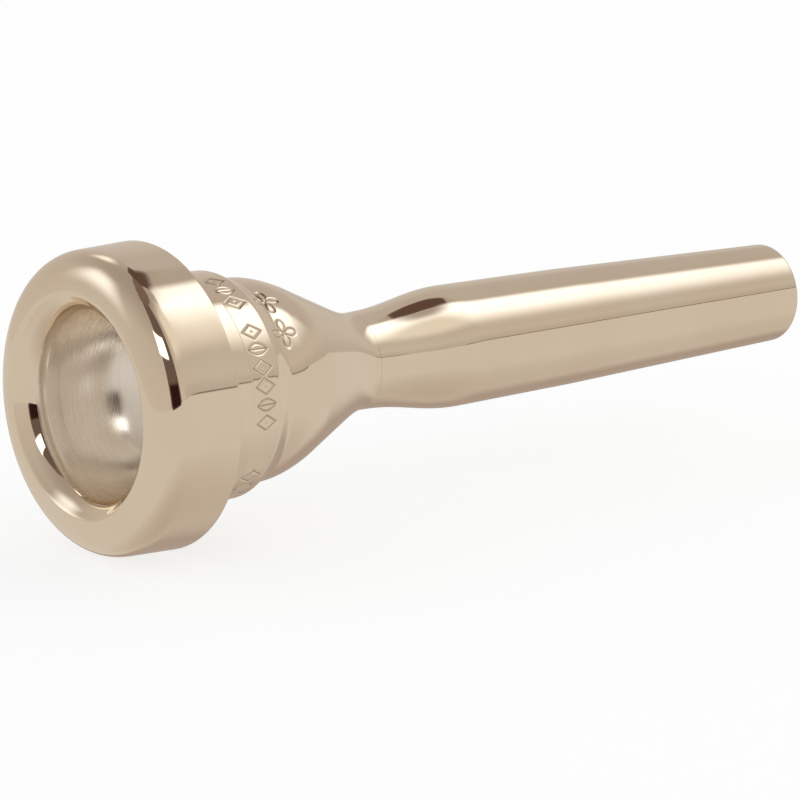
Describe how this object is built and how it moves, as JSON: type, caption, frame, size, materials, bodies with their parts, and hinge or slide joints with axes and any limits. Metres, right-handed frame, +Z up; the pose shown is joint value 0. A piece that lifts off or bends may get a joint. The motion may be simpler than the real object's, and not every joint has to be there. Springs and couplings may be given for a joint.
{
  "type": "trumpet mouthpiece",
  "caption": "Polished brass trumpet mouthpiece with a rounded screw-on rim, a bowl cup with a stepped band, and a tapered screw-in shank.",
  "frame": {"origin": "on the bore axis, halfway between the front of the rim and the end of the shank", "axes": "+X along the bore, from the rim to the end of the shank; +Z up; the rim faces -X"},
  "size_m": [0.085, 0.0278, 0.0278],
  "materials": {
    "polished_plate": "mirror-polished plate over turned brass, pale warm gold"
  },
  "bodies": {
    "cup": {"cup": "polished_plate"},
    "rim": {"rim": "polished_plate"},
    "shank": {"backbore_shank": "polished_plate"}
  },
  "joints": [
    {"name": "rim_unscrew", "type": "slide", "parent": "cup", "child": "rim", "axis": [-1, 0, 0], "range_m": [0, 0.012]},
    {"name": "shank_unscrew", "type": "slide", "parent": "cup", "child": "shank", "axis": [1, 0, 0], "range_m": [0, 0.015]}
  ]
}
